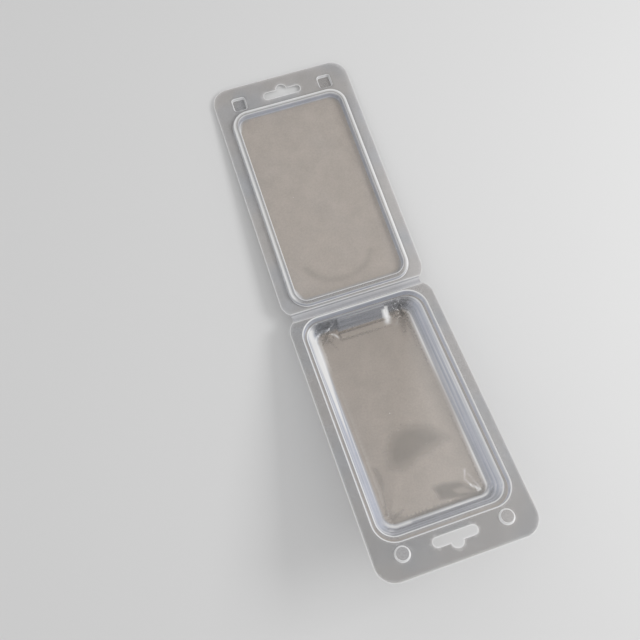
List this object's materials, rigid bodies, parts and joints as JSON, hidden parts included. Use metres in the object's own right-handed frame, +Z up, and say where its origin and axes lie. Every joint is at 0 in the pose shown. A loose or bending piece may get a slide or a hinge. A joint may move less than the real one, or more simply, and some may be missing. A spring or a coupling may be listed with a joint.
{
  "type": "plastic clamshell pack",
  "caption": "Open clear plastic clamshell pack, a shallow formed tray and a framed lid joined by a folding strip, with snap studs and hang slots.",
  "frame": {"origin": "on the table under the middle of the open pack", "axes": "+X across the pack, +Y from the tray to the lid, +Z up from the table"},
  "size_m": [0.11, 0.3816, 0.066],
  "materials": {
    "clear_plastic": "clear gloss"
  },
  "bodies": {
    "tray": {"tray": "clear_plastic", "hinge_strip": "clear_plastic"},
    "lid": {"lid": "clear_plastic"}
  },
  "joints": [
    {"name": "lid_hinge", "type": "hinge", "parent": "tray", "child": "lid", "pos_m": [0, -0.00352, 0.01263], "axis": [1, 0, 0], "range_deg": [-12.9, 167.1], "stiffness_Nm_per_rad": 0.22, "springref_deg": 2.86, "deforming": ["hinge_strip"]}
  ]
}
